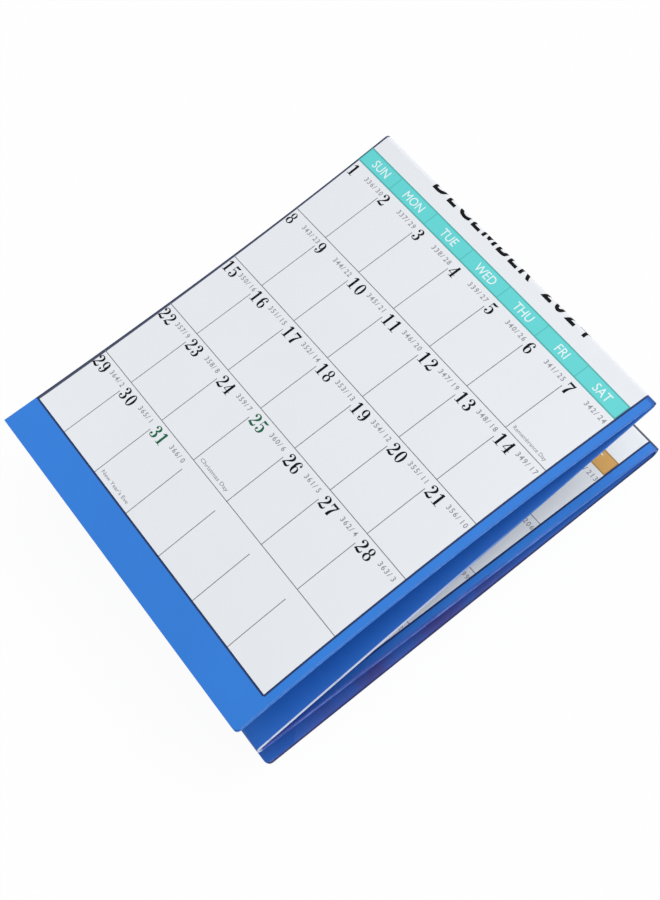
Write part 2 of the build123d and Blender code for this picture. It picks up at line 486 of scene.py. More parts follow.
def dressed_copy(node, material, raised=0.0):
    """A node's copy, cut finely, and bent to the sheet's soft shape."""
    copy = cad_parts[node].data.copy()
    copy.attributes.remove(copy.attributes["custom_normal"])
    shape = bmesh.new()
    shape.from_mesh(copy)
    bpy.data.meshes.remove(copy)
    bmesh.ops.remove_doubles(shape, verts=shape.verts[:], dist=POINTS_TOUCH)
    cut_finely(shape, node)
    flat_places = shape.verts.layers.float_vector.new("flat_place")
    for vert in shape.verts:
        x = vert.co.x / MM
        height, out = unfold(x, vert.co.y / MM, vert.co.z / MM)
        vert[flat_places] = (x, height, out)
        if node == "calendar_sheet":
            x, height = blunted(x, height, out)
        vert.co = on_sheet(x, height, out + raised)
    mesh = bpy.data.meshes.new(node)
    shape.to_mesh(mesh)
    shape.free()
    piece = new_piece(node + "_finished", mesh, material)
    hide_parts(node)
    smooth(piece)
    return piece


# Shader nodes

class Painter:
    """Adds shader nodes to a material or group. A value is a number, a colour or a node's output."""

    # A Mix node's sockets for its factor and its two colours, and for the colour that it gives
    mix_takes = (0, 6, 7)
    mix_gives = 2

    def __init__(self, tree):
        self.nodes, self.links = tree.nodes, tree.links

    def feed(self, socket, value):
        """Set a socket, or link it to another node's output."""
        if isinstance(value, bpy.types.NodeSocket):
            self.links.new(value, socket)
        elif socket.type == "RGBA":
            socket.default_value = (*value, 1)
        else:
            socket.default_value = value

    def node(self, kind, values=None, **settings):
        """New node with its settings, and values for its sockets by their labels or numbers."""
        node = self.nodes.new("ShaderNode" + kind)
        for setting, choice in settings.items():
            setattr(node, setting, choice)
        for label, value in (values or {}).items():
            self.feed(node.inputs[label], value)
        return node

    def math(self, operation, *values):
        return self.node("Math", dict(enumerate(values)), operation=operation).outputs[0]

    def times(self, product, *others):
        """Masks laid over each other, so that only what they share is left."""
        for other in others:
            product = self.math("MULTIPLY", product, other)
        return product

    def most(self, greatest, *others):
        """Masks joined."""
        for other in others:
            greatest = self.math("MAXIMUM", greatest, other)
        return greatest

    def ramp(self, value, low, high, start=0.0, end=1.0):
        """A soft way from start to end, as a value goes from low to high."""
        values = {"Value": value, "From Min": low, "From Max": high, "To Min": start, "To Max": end}
        return self.node("MapRange", values, interpolation_type="SMOOTHSTEP").outputs["Result"]

    def speckle(self, scale, detail, stretch_by=(1, 1, 1)):
        """Noise that stays on the piece."""
        place = self.node("TexCoord").outputs["Object"]
        stretched = self.node("Mapping", {"Vector": place, "Scale": stretch_by}).outputs["Vector"]
        return self.node("TexNoise", {"Vector": stretched, "Scale": scale, "Detail": detail}).outputs["Fac"]

    def patches(self, noise, shown):
        """Mask of patches, from noise and from what of it shows."""
        return self.ramp(self.speckle(*noise), *shown)

    def line(self, value, middle, half_width, softness):
        """Mask along a line on the flat sheet."""
        values = {"Value": value, "Middle": middle, "Half Width": half_width, "Softness": softness}
        return self.node("Group", values, node_tree=LINE).outputs["Mask"]

    def stain(self, under, mask, over):
        """Colour laid over another where a mask says so."""
        values = dict(zip(self.mix_takes, (mask, under, over)))
        return self.node("Mix", values, data_type="RGBA").outputs[self.mix_gives]

    def read_flat_place(self):
        """Find where each point lies on the flat sheet: across it, up it, and out from its middle ply."""
        flat = self.node("Attribute", attribute_name="flat_place").outputs["Vector"]
        self.across, self.height, self.out = self.node("SeparateXYZ", {"Vector": flat}).outputs


def new_group(name, takes, gives):
    """Empty shader node group with its named inputs and outputs, and a painter for it."""
    group = bpy.data.node_groups.new(name, "ShaderNodeTree")
    for sockets, side in ((takes, "INPUT"), (gives, "OUTPUT")):
        for label, kind in sockets.items():
            group.interface.new_socket(label, in_out=side, socket_type="NodeSocket" + kind)
    way_in, way_out = group.nodes.new("NodeGroupInput"), group.nodes.new("NodeGroupOutput")
    return group, Painter(group), way_in.outputs, way_out.inputs


def line_mask():
    """Mask along a line: full within its half width, and fading out over its softness."""
    group, paint, takes, gives = new_group(
        "line_mask",
        {"Value": "Float", "Middle": "Float", "Half Width": "Float", "Softness": "Float"},
        {"Mask": "Float"},
    )
    away = paint.math("ABSOLUTE", paint.math("SUBTRACT", takes["Value"], takes["Middle"]))
    far = paint.math("ADD", takes["Half Width"], takes["Softness"])
    paint.feed(gives["Mask"], paint.ramp(away, takes["Half Width"], far, 1.0, 0.0))
    return group


# Noise under and in the film: its scale, detail and stretch, and for the scuffs what of it shows and how
# much rougher they are
CLOUDS = (38, 3)
GRAIN = (900, 2)
WAVES = (45, 2)
SCUFFS = ((60, 6, (1, 5, 5)), (0.45, 0.75, 0.0, 0.16))
NOISE_MIDDLE = 0.5
GRAIN_SHARE = 0.5
GRAIN_HEIGHT = 0.06
WAVE_HEIGHT = 0.4 * MM


def laminate_film():
    """Film over print: a little mottling in the colour, scuffs in the gloss and a fine uneven surface."""
    group, paint, takes, gives = new_group(
        "laminate_film",
        {"Color": "Color", "Mottling": "Float", "Roughness": "Float", "Unevenness": "Float"},
        {"Color": "Color", "Roughness": "Float", "Normal": "Vector"},
    )
    cloud = paint.math("SUBTRACT", paint.speckle(*CLOUDS), NOISE_MIDDLE)
    grain = paint.math("SUBTRACT", paint.speckle(*GRAIN), NOISE_MIDDLE)
    both = paint.math("ADD", cloud, paint.times(grain, GRAIN_SHARE))
    value = paint.math("MULTIPLY_ADD", both, takes["Mottling"], 1.0)
    tint = paint.node("HueSaturation", {"Color": takes["Color"], "Value": value})
    paint.feed(gives["Color"], tint.outputs["Color"])
    paint.feed(gives["Roughness"], paint.math("ADD", takes["Roughness"], paint.patches(*SCUFFS)))
    waves = paint.math("ADD", paint.speckle(*WAVES), paint.times(grain, GRAIN_HEIGHT))
    bump = paint.node("Bump", {"Distance": WAVE_HEIGHT, "Strength": takes["Unevenness"], "Height": waves})
    paint.feed(gives["Normal"], bump.outputs["Normal"])
    return group


LINE = line_mask()
FILM = laminate_film()


def film_material(name, colour, marks=None, roughness=0.4, mottling=0.03, unevenness=0.06, shine=0.25):
    """Coloured print under the film, with marks that follow the flat sheet if given."""
    material = bpy.data.materials.new(name)
    material.use_nodes = True
    paint = Painter(material.node_tree)
    if marks:
        paint.read_flat_place()
        colour = marks(paint, colour)
    values = {"Color": colour, "Mottling": mottling, "Roughness": roughness, "Unevenness": unevenness}
    film = paint.node("Group", values, node_tree=FILM).outputs
    shader = paint.nodes["Principled BSDF"].inputs
    paint.feed(shader["Specular IOR Level"], shine)
    paint.feed(shader["Base Color"], film["Color"])
    paint.feed(shader["Roughness"], film["Roughness"])
    paint.feed(shader["Normal"], film["Normal"])
    return material


# Marks on the sheet, each a short function that lays its colour over the one before

# Deeper blue of the back: partly its own print, partly painted shade
BACK_BLUE_AND_SHADE = (0.02, 0.14, 0.56)
LINE_NAVY = (0.01, 0.016, 0.065)
PAGE_NAVY = (0.012, 0.02, 0.06)
# Darker blue painted as shade beside the creases
CREASE_SHADE_BLUE = (0.012, 0.045, 0.28)
DULL_PURPLE = (0.075, 0.065, 0.28)
CLOUDY_BLUE = (0.055, 0.085, 0.42)
STREAKED_BLUE = (0.20, 0.25, 0.72)
PALE_LILAC = (0.42, 0.38, 0.72)
PALE_BLUE = (0.16, 0.34, 0.85)
CRACKED_WHITE = (0.78, 0.82, 0.96)
# Navy painted as contact shade where the lowest side meets the table
CONTACT_SHADE_NAVY = (0.006, 0.012, 0.07)
CUT_BLUE = (0.30, 0.48, 0.86)

# Masks over the distance out from the middle ply: from where to where, and how strong at each end
ON_BACK = (-0.4, 0.0, 0.8, 0.0)
ON_BEND = (0.3, 0.5)
ON_PRINTED_FACE = (0.8, 1.0)
ON_UPPER_PLY = (0.7, 0.74)
ON_LOWER_PLY = (-0.74, -0.7, 1.0, 0.0)

# Dark line on the blue round the white field: how far it stands off, its half width and its soft sides
LINE_OFFSET = 0.3
LINE_REACH = 0.5
LINE_SOFTNESS = 0.4
LINE_END = 0.2
LINE_STRENGTH = 0.93
BEND_LINE_REACH = 0.9

# Dark line down the left of the white field, wider at its foot, and the one along the far crease
LEFT_LINE_REACHES = (1.15, 0.35)
LEFT_LINE_SOFTNESS = 0.25
FAR_LINE_PLACE = LOWEST_CREASE - 2.0
FAR_LINE_REACH = 1.35
PAGE_LINE_STRENGTH = 0.95

# Darker lines on a weekday band: half width, soft sides and strength at its edges, dividers and ends
BAND_EDGES = (0.55, 0.4, 1.0)
BAND_DIVIDERS = (0.2, 0.2, 0.65)
BAND_ENDS = (0.35, 0.3, 1.0)
BAND_LINE_VALUE = 0.55
BAND_LINE_STRENGTH = 0.8

# Half width and soft sides of the painted shade on the top crease, of the lines along the folds and of the
# cut edges, and how strong two of them are
TOP_CREASE_SHADE_LINE = (1.4, 1.6)
TOP_CREASE_SHADE_STRENGTH = 0.7
PALE_FOLD_LINE = (0.1, 0.3)
CRACKED_FOLD_LINE = (0.42, 0.35)
CUT_EDGE_LINE = (0.004, 0.004)
LOWEST_EDGE_STRENGTH = 0.15

# Where wear and painted shade lie, up the flat sheet or across it: from where to where, and how strong at
# each end
PAST_MIDDLE_CREASE = (MIDDLE_CREASE + 1, MIDDLE_CREASE + 2)
SHADED_LENGTH = (MIDDLE_CREASE + 2, MIDDLE_CREASE + 150, 0.85, 0.0)
SIDE_BORDER = (PAGE_RIGHT - 1, PAGE_RIGHT)
LOWEST_LAYER = (LOWEST_CREASE, LOWEST_CREASE + 3)
RUBBED_START = (LOWEST_CREASE + 60, LOWEST_CREASE + 130, 0.0, 0.85)
RUBBED_END = (SHEET_HEIGHT - 60, SHEET_HEIGHT - 15, 1.0, 0.25)
RUBBED_SIDE = (HALF_WIDTH - 14, HALF_WIDTH - 5)
LOWER_LAYERS = (MIDDLE_CREASE + 1, MIDDLE_CREASE + 4)
LOWER_FOLD = (HALF_WIDTH - 1.6, HALF_WIDTH - 0.3)
CRACKS_START = (MIDDLE_CREASE - 170, MIDDLE_CREASE - 70)
CRACKS_END = (MIDDLE_CREASE + 1, MIDDLE_CREASE + 3, 1.0, 0.0)
CONTACT_SHADE_FOLD = (HALF_WIDTH - 0.9, HALF_WIDTH - 0.3, 0.0, 0.85)
PALEST_FOOT = (40, 180, 1.0, 0.2)

# Patches of wear: their noise, and what of it shows and how strongly. Those on the lower two layers'
# outer fold have their colours too.
DULL_PATCHES = ((34, 4), (0.38, 0.58, 0.35, 1.0))
FLECKS = ((300, 4), (0.4, 0.7, 0.1, 0.6))
CRACKS = ((90, 5), (0.34, 0.46, 0.5, 1.0))
LOWER_WEAR = (
    ((26, 3), (0.42, 0.6, 0.15, 0.85), CLOUDY_BLUE),
    ((30, 4, (6, 0.6, 12)), (0.5, 0.68, 0.0, 0.5), STREAKED_BLUE),
    ((55, 5, (1, 0.6, 1)), (0.6, 0.68, 0.0, 0.8), PALE_LILAC),
)


def blue_back(paint, colour):
    """The back of the sheet is painted a deeper blue than its printed border: partly its own print, partly
    painted shade for the back where it shows in the gaps between layers.
    """
    return paint.stain(colour, paint.ramp(paint.out, *ON_BACK), BACK_BLUE_AND_SHADE)


def far_line(paint):
    """Mask of the dark line along the crease over the June page."""
    return paint.line(paint.height, FAR_LINE_PLACE, FAR_LINE_REACH, LINE_END)


def field_lines(paint, colour):
    """Dark lines on the blue, round the white field and on over the bends."""
    right_side, foot = PAGE_RIGHT + LINE_OFFSET, BOTTOM_STRIP - LINE_OFFSET
    beside_field = paint.ramp(paint.height, foot - LINE_END, foot)
    under_field = paint.ramp(paint.across, right_side, right_side + LINE_END, 1.0, 0.0)
    right_line = paint.line(paint.across, right_side, LINE_REACH, LINE_SOFTNESS)
    foot_line = paint.line(paint.height, foot, LINE_REACH, LINE_SOFTNESS)
    round_field = paint.most(paint.times(right_line, beside_field), paint.times(foot_line, under_field))
    printed = paint.ramp(paint.out, *ON_PRINTED_FACE)
    on_bend = paint.ramp(paint.out, *ON_BEND)
    left_line = paint.line(paint.across, PAGE_LEFT, BEND_LINE_REACH, LINE_END)
    dark = paint.most(
        paint.times(round_field, printed),
        paint.times(left_line, beside_field, on_bend),
        paint.times(far_line(paint), on_bend),
    )
    return paint.stain(colour, paint.times(dark, LINE_STRENGTH), LINE_NAVY)


def deepened_folds(paint, colour):
    """Painted shade: a darker blue beside the crease under the top two layers, where they shade it, and on
    the top crease, where it rolls away from the light.
    """
    beside = paint.times(
        paint.ramp(paint.height, *SHADED_LENGTH),
        paint.ramp(paint.height, *PAST_MIDDLE_CREASE),
        paint.ramp(paint.across, *SIDE_BORDER),
    )
    # Painted shade in the crevice under the top two layers
    colour = paint.stain(colour, beside, CREASE_SHADE_BLUE)
    # Painted shade on the rolled top crease
    on_crease = paint.line(paint.height, TOP_CREASE, *TOP_CREASE_SHADE_LINE)
    return paint.stain(colour, paint.times(on_crease, TOP_CREASE_SHADE_STRENGTH), CREASE_SHADE_BLUE)


def lowest_layer(paint):
    """Mask of the layer that lies on the table."""
    return paint.ramp(paint.height, *LOWEST_LAYER)


def above_lowest(paint, least=0.0):
    """Mask of the other layers, which has its least strength on the lowest."""
    return paint.ramp(lowest_layer(paint), 0.0, 1.0, 1.0, least)


def rubbed_side(paint, colour):
    """The lowest layer is rubbed to a dull purple along part of its side."""
    rubbed = paint.times(
        paint.ramp(paint.height, *RUBBED_START),
        paint.ramp(paint.height, *RUBBED_END),
        paint.ramp(paint.across, *RUBBED_SIDE),
        paint.patches(*DULL_PATCHES),
    )
    return paint.stain(colour, rubbed, DULL_PURPLE)


def worn_lower_fold(paint, colour):
    """The outer fold of the lower two layers has clouds, streaks and pale patches."""
    fold = paint.times(paint.ramp(paint.height, *LOWER_LAYERS), paint.ramp(paint.across, *LOWER_FOLD))
    for noise, shown, worn_colour in LOWER_WEAR:
        colour = paint.stain(colour, paint.times(fold, paint.patches(noise, shown)), worn_colour)
    return colour


def pale_folds(paint, colour):
    """Every outer fold but the lowest is a little pale, and one is cracked white along a stretch."""
    flecks = paint.times(paint.patches(*FLECKS), above_lowest(paint))
    for value, edge in ((paint.across, HALF_WIDTH), (paint.height, MIDDLE_CREASE)):
        pale = paint.times(paint.line(value, edge, *PALE_FOLD_LINE), flecks)
        colour = paint.stain(colour, pale, PALE_BLUE)
    cracks = paint.times(
        paint.line(paint.across, HALF_WIDTH, *CRACKED_FOLD_LINE),
        paint.ramp(paint.height, *CRACKS_START),
        paint.ramp(paint.height, *CRACKS_END),
        paint.patches(*CRACKS),
    )
    return paint.stain(colour, cracks, CRACKED_WHITE)


def grimy_side(paint, colour):
    """Painted shade: the lowest side is darkened along its fold, where it meets the table."""
    side = paint.times(paint.ramp(paint.across, *CONTACT_SHADE_FOLD), lowest_layer(paint))
    # Painted contact shade along the lowest side
    return paint.stain(colour, side, CONTACT_SHADE_NAVY)


def cut_edge(paint, value, place):
    """Mask of one cut edge of the sheet."""
    return paint.line(value, place, *CUT_EDGE_LINE)


def cut_edges(paint, colour):
    """The laminate's cut edges are pale, above all near the foot of the top layer."""
    upper_ply = paint.ramp(paint.out, *ON_UPPER_PLY)
    lower_ply = paint.ramp(paint.out, *ON_LOWER_PLY)
    edges = paint.most(
        cut_edge(paint, paint.height, 0.0),
        cut_edge(paint, paint.height, SHEET_HEIGHT),
        paint.times(cut_edge(paint, paint.across, FREE_SIDE), upper_ply),
        paint.times(cut_edge(paint, paint.across, LEFT_SIDE), lower_ply),
    )
    on_layers = above_lowest(paint, LOWEST_EDGE_STRENGTH)
    pale = paint.times(edges, on_layers, paint.ramp(paint.height, *PALEST_FOOT))
    return paint.stain(colour, pale, CUT_BLUE)


def blue_marks(paint, colour):
    """All that shows on the blue of the sheet, from its print to its wear, with painted shade in its
    creases, on its back and along its lowest side.
    """
    colour = field_lines(paint, blue_back(paint, colour))
    for wear in (deepened_folds, rubbed_side, worn_lower_fold, pale_folds, grimy_side, cut_edges):
        colour = wear(paint, colour)
    return colour


def page_marks(paint, colour):
    """Dark line down the left of the white field, and along the crease over the June page."""
    reach = paint.ramp(paint.height, BOTTOM_STRIP, TOP_CREASE, *LEFT_LINE_REACHES)
    left_line = paint.line(paint.across, PAGE_LEFT, reach, LEFT_LINE_SOFTNESS)
    dark = paint.times(paint.most(left_line, far_line(paint)), PAGE_LINE_STRENGTH)
    return paint.stain(colour, dark, PAGE_NAVY)


def band_marks(month):
    """Darker edge lines and faint dividers on a weekday band."""
    foot = band_foot(MONTHS.index(month))

    def marks(paint, colour):
        dividers = [day_left(weekday) for weekday in range(1, DAYS)]
        lines = []
        for value, places, (half_width, softness, strength) in (
            (paint.height, (foot, foot + HEADER_HEIGHT), BAND_EDGES),
            (paint.across, dividers, BAND_DIVIDERS),
            (paint.across, (PAGE_LEFT, PAGE_RIGHT), BAND_ENDS),
        ):
            for place in places:
                line = paint.line(value, place, half_width, softness)
                lines.append(paint.times(line, strength))
        darker = paint.node("HueSaturation", {"Color": colour, "Value": BAND_LINE_VALUE}).outputs["Color"]
        return paint.stain(colour, paint.times(paint.most(*lines), BAND_LINE_STRENGTH), darker)

    return marks


# Materials

blue = film_material(
    "blue_laminate", (0.032, 0.205, 0.69), blue_marks,
    roughness=0.36, mottling=0.10, unevenness=0.08, shine=0.2,
)
white = film_material("white_page", (0.80, 0.83, 0.87), page_marks, roughness=0.38)
grey = film_material("grey_lines", (0.19, 0.19, 0.21), roughness=0.42, mottling=0.12)
black = film_material("black_numerals", (0.005, 0.005, 0.007), mottling=0.2, shine=0.06)
green = film_material("green_numerals", (0.01, 0.12, 0.055), mottling=0.15, shine=0.1)
pale_grey = film_material("pale_grey_figures", (0.30, 0.29, 0.33), roughness=0.42, mottling=0.15)
white_words = film_material("white_weekdays", (0.82, 0.90, 0.92))
BAND_INKS = {
    "march": ("green_ink", (0.2, 0.5, 0.16)),
    "june": ("tan_ink", (0.66, 0.37, 0.108)),
    "september": ("coral_ink", (0.78, 0.22, 0.16)),
    "december": ("teal_ink", (0.125, 0.66, 0.655)),
}


# Sheet and its printed films

dressed_copy("calendar_sheet", blue)
dressed_copy("white_ground", white, GROUND_RAISED)
for month, (band_slot, band_colour) in BAND_INKS.items():
    band = film_material(month + "_band", band_colour, band_marks(month), mottling=0.05)
    dressed_copy("header_band_" + month, band, OVERPRINT_RAISED)
    dressed_copy("grid_lines_" + month, grey, OVERPRINT_RAISED)


# Thin shapes of ink, drawn flat in millimetres

def made_mesh(curve):
    """Turn a filled curve or text into a clean closed mesh."""
    bpy.context.scene.collection.objects.link(curve)
    only(curve)
    bpy.ops.object.convert(target="MESH")
    bpy.ops.object.mode_set(mode="EDIT")
    bpy.ops.mesh.select_all(action="SELECT")
    bpy.ops.mesh.remove_doubles(threshold=INK_TOUCHES)
    bpy.ops.mesh.normals_make_consistent(inside=False)
    bpy.ops.object.mode_set(mode="OBJECT")
    return bpy.context.object


def flat_shape(outlines):
    """Thin closed shape from outlines, where one inside another is a hole."""
    data = bpy.data.curves.new("outline", "CURVE")
    data.dimensions = "2D"
    data.fill_mode = "BOTH"
    data.extrude = INK_THICKNESS / 2
    for points in outlines:
        line = data.splines.new("POLY")
        line.points.add(len(points) - 1)
        for spot, (x, y) in zip(line.points, points):
            spot.co = (x, y, 0, 1)
        line.use_cyclic_u = True
    return made_mesh(bpy.data.objects.new("outline", data))


def words(text, size, resolution=PLAIN_TYPE, bold=0.0):
    """Thin closed letters of plain type."""
    data = bpy.data.curves.new("words", "FONT")
    data.body = text
    data.size = size
    data.offset = bold
    data.resolution_u = resolution
    data.extrude = INK_THICKNESS / 2
    return taken(made_mesh(bpy.data.objects.new("words", data)))


def scaled(drawn, wide, tall):
    """A drawn shape made wider or taller."""
    points, faces = drawn
    return [(x * wide, y * tall, z) for x, y, z in points], faces


def taken(shape):
    """Points and faces of a drawn shape, which is then removed."""
    mesh = shape.data
    points = [tuple(vert.co) for vert in mesh.vertices]
    faces = [tuple(face.vertices) for face in mesh.polygons]
    bpy.data.objects.remove(shape)
    bpy.data.meshes.remove(mesh)
    return points, faces


def soft_value(p, q, r, s, t):
    """Value a share t of the way from q to r, on a soft curve that comes from p and goes on to s."""
    bend = 2 * p - 5 * q + 4 * r - s
    twist = 3 * q - p - 3 * r + s
    return 0.5 * (2 * q + (r - p) * t + bend * t ** 2 + twist * t ** 3)


def soft_line(points, steps):
    """Points on a soft curve through the given ones."""
    ends = [points[0]] + list(points) + [points[-1]]
    found = []
    for a, b, c, d in zip(ends, ends[1:], ends[2:], ends[3:]):
        for step in range(steps):
            found.append(tuple(soft_value(*around, step / steps) for around in zip(a, b, c, d)))
    return found + [tuple(points[-1])]


def pen_stroke(*points):
    """Outline of a stroke whose points give its place and width."""
    line = soft_line(points, STROKE_STEPS)
    left, right = [], []
    for count, (x, y, width) in enumerate(line):
        width = width * STROKE_WIDENING + STROKE_SPREAD
        before, after = line[max(count - 1, 0)], line[min(count + 1, len(line) - 1)]
        along_x, along_y = after[0] - before[0], after[1] - before[1]
        reach = width / 2 / hypot(along_x, along_y)
        left.append((x - along_y * reach, y + along_x * reach))
        right.append((x + along_y * reach, y - along_x * reach))
    return [left + right[::-1]]


def oval(x, y, wide, tall, count=OVAL_POINTS):
    """Points round an oval."""
    angles = [2 * pi * step / count for step in range(count)]
    return [(x + wide * cos(angle), y + tall * sin(angle)) for angle in angles]


def ring(outer, inner):
    return [oval(*outer), oval(*inner)]


def ball(x, y, radius):
    return [oval(x, y, radius, radius, BALL_POINTS)]


def bar(left, low, right, high):
    return [[(left, low), (right, low), (right, high), (left, high)]]


def turned(outlines):
    """Shape turned half round in the digit's own width."""
    return [[(DIGIT_BODY - x, 1 - y) for x, y in points] for points in outlines]


# Fat-faced digits with thick stems, hairlines and balls, one unit high
SIX = (
    ring((0.325, 0.30, 0.265, 0.305), (0.335, 0.30, 0.105, 0.255)),
    pen_stroke((0.50, 0.90, 0.04), (0.37, 0.985, 0.04), (0.23, 0.91, 0.09), (0.135, 0.70, 0.14),
               (0.135, 0.45, 0.14), (0.15, 0.25, 0.13)),
    ball(0.465, 0.805, 0.08),
)
DIGITS = {
    "0": (ring((0.31, 0.5, 0.28, 0.51), (0.31, 0.5, 0.11, 0.455)),),
    "1": (
        bar(0.21, 0.0, 0.385, 1.0),
        pen_stroke((0.24, 0.99, 0.04), (0.17, 0.87, 0.06), (0.06, 0.815, 0.04)),
        bar(0.07, 0.0, 0.53, 0.04),
    ),
    "2": (
        ball(0.145, 0.75, 0.09),
        pen_stroke((0.065, 0.77, 0.04), (0.12, 0.93, 0.045), (0.29, 0.985, 0.05), (0.43, 0.90, 0.12),
                   (0.475, 0.74, 0.15), (0.41, 0.57, 0.12), (0.25, 0.38, 0.06), (0.11, 0.20, 0.045),
                   (0.06, 0.05, 0.045)),
        pen_stroke((0.05, 0.08, 0.07), (0.16, 0.13, 0.12), (0.30, 0.085, 0.15), (0.44, 0.08, 0.13),
                   (0.53, 0.15, 0.06), (0.55, 0.28, 0.04)),
    ),
    "3": (
        ball(0.135, 0.78, 0.085),
        pen_stroke((0.06, 0.80, 0.04), (0.13, 0.94, 0.04), (0.28, 0.985, 0.05), (0.41, 0.90, 0.12),
                   (0.445, 0.76, 0.145), (0.39, 0.62, 0.10), (0.22, 0.54, 0.04)),
        pen_stroke((0.22, 0.54, 0.04), (0.39, 0.48, 0.09), (0.475, 0.29, 0.155), (0.42, 0.10, 0.115),
                   (0.28, 0.015, 0.05), (0.13, 0.05, 0.04), (0.06, 0.19, 0.04)),
        ball(0.135, 0.215, 0.085),
    ),
    "4": (
        bar(0.32, 0.0, 0.495, 1.0),
        pen_stroke((0.43, 0.985, 0.05), (0.24, 0.64, 0.045), (0.045, 0.27, 0.045)),
        bar(0.03, 0.25, 0.60, 0.295),
        bar(0.20, 0.0, 0.61, 0.04),
    ),
    "5": (
        bar(0.085, 0.50, 0.125, 0.99),
        pen_stroke((0.085, 0.93, 0.11), (0.25, 0.92, 0.14), (0.40, 0.93, 0.11), (0.51, 0.995, 0.03)),
        pen_stroke((0.09, 0.50, 0.04), (0.16, 0.59, 0.04), (0.29, 0.63, 0.05), (0.42, 0.53, 0.12),
                   (0.475, 0.32, 0.155), (0.42, 0.11, 0.115), (0.28, 0.015, 0.05), (0.13, 0.05, 0.04),
                   (0.06, 0.18, 0.04)),
        ball(0.135, 0.205, 0.085),
    ),
    "6": SIX,
    "7": (
        bar(0.06, 0.82, 0.52, 0.97),
        bar(0.055, 0.66, 0.095, 1.0),
        pen_stroke((0.54, 0.985, 0.045), (0.48, 0.80, 0.06), (0.35, 0.54, 0.10), (0.275, 0.27, 0.155),
                   (0.265, 0.0, 0.175)),
    ),
    "8": (
        ring((0.31, 0.755, 0.225, 0.25), (0.31, 0.765, 0.09, 0.20)),
        ring((0.31, 0.27, 0.275, 0.28), (0.31, 0.265, 0.12, 0.225)),
    ),
    "9": tuple(turned(part) for part in SIX),
}


def united(whole, part):
    """Join a thin shape into another as one solid."""
    only(whole)
    weld = whole.modifiers.new("weld", "BOOLEAN")
    weld.operation = "UNION"
    weld.solver = "EXACT"
    weld.object = part
    bpy.ops.object.modifier_apply(modifier=weld.name)
    bpy.data.objects.remove(part)
    return whole


def drawn_digit(parts):
    """One digit, its strokes united into a thin solid."""
    strokes = [
        [[(x * DIGIT_HEIGHT * DIGIT_WIDENING, y * DIGIT_HEIGHT) for x, y in points] for points in outlines]
        for outlines in parts
    ]
    whole = flat_shape(strokes[0])
    for outlines in strokes[1:]:
        whole = united(whole, flat_shape(outlines))
    return taken(whole)


# Print laid on the sheet

def laid_print(name, items, base, material, cuts=()):
    """Thin ink shapes laid on the sheet, each with the place of its left end and foot."""
    shape = bmesh.new()
    for (points, faces), x, height in items:
        verts = []
        for px, py, pz in points:
            verts.append(shape.verts.new((x + px, height + py, base + pz + INK_THICKNESS / 2)))
        for face in faces:
            if len(set(face)) > 2:
                shape.faces.new([verts[spot] for spot in face])
    cut_at(shape, 1, cuts)
    for vert in shape.verts:
        vert.co = on_sheet(*vert.co)
    mesh = bpy.data.meshes.new(name)
    shape.to_mesh(mesh)
    shape.free()
    return new_piece(name, mesh, material)


def ends_of(drawn):
    """Left and right end of a drawn shape."""
    places = [point[0] for point in drawn[0]]
    return min(places), max(places)


def day_cell(layer, day):
    """Left side, width and head of a day's cell on the flat sheet; a sixth week shares the last row."""
    week, weekday = divmod(FIRST_WEEKDAYS[layer] + day - 1, DAYS)
    head = band_foot(layer) - min(week, WEEKS - 1) * WEEK_HEIGHT
    return day_left(weekday), day_width(weekday), head - (WEEK_HEIGHT / 2 if week >= WEEKS else 0.0)


DIGIT_SHAPES = {label: drawn_digit(parts) for label, parts in DIGITS.items()}
FIGURES = {label: words(label, FIGURE_SIZE, COARSE_TYPE, FIGURE_BOLD) for label in "0123456789/"}
NAMES = [scaled(words(label, NAME_SIZE), 1.0, NAME_HEIGHTENING) for label in WEEKDAYS]


def drawn_note(text):
    """A note, a little widened but never longer than its cell takes."""
    note = words(text, NOTE_SIZE, COARSE_TYPE, NOTE_BOLD)
    return scaled(note, min(NOTE_WIDENING, NOTE_LENGTH / ends_of(note)[1]), 1.0)


def print_days(layer, month):
    """Numerals of a month, with the days gone and left in the year, and its notes."""
    numerals, green_numerals, day_counts, notes = [], [], [], []
    for day in range(1, MONTH_DAYS[layer] + 1):
        left, width, head = day_cell(layer, day)
        chosen = green_numerals if day in GREEN_DAYS[month] else numerals
        for count, label in enumerate(str(day)):
            place = left + NUMERAL_INSET + count * DIGIT_PITCH
            chosen.append((DIGIT_SHAPES[label], place, head - NUMERAL_DROP))
        year_day = DAYS_BEFORE_MONTH[layer] + day
        count_text = f"{year_day:03d}/{YEAR_DAYS - year_day}"
        middle = left + max(width - FIGURES_BEFORE_END, FIGURES_AFTER_START)
        first = middle - len(count_text) * FIGURE_PITCH / 2
        for count, label in enumerate(count_text):
            day_counts.append((FIGURES[label], first + count * FIGURE_PITCH, head - FIGURE_DROP))
        if day in NOTES[month]:
            note = drawn_note(NOTES[month][day])
            notes.append((note, left + NOTE_INSET, head - WEEK_HEIGHT + NOTE_RISE))
    laid_print(month + "_numerals", numerals, INK_BASE, black)
    laid_print(month + "_green_numerals", green_numerals, INK_BASE, green)
    laid_print(month + "_day_counts", day_counts + notes, INK_BASE, pale_grey)


def print_weekdays(layer, month):
    """Weekday names, each in the middle of its part of the band."""
    names = []
    for weekday, drawn in enumerate(NAMES):
        middle = day_left(weekday) + day_width(weekday) / 2 + NAME_SHIFT
        names.append((drawn, middle - sum(ends_of(drawn)) / 2, band_foot(layer) + NAME_RISE))
    laid_print(month + "_weekdays", names, BAND_INK_BASE, white_words)


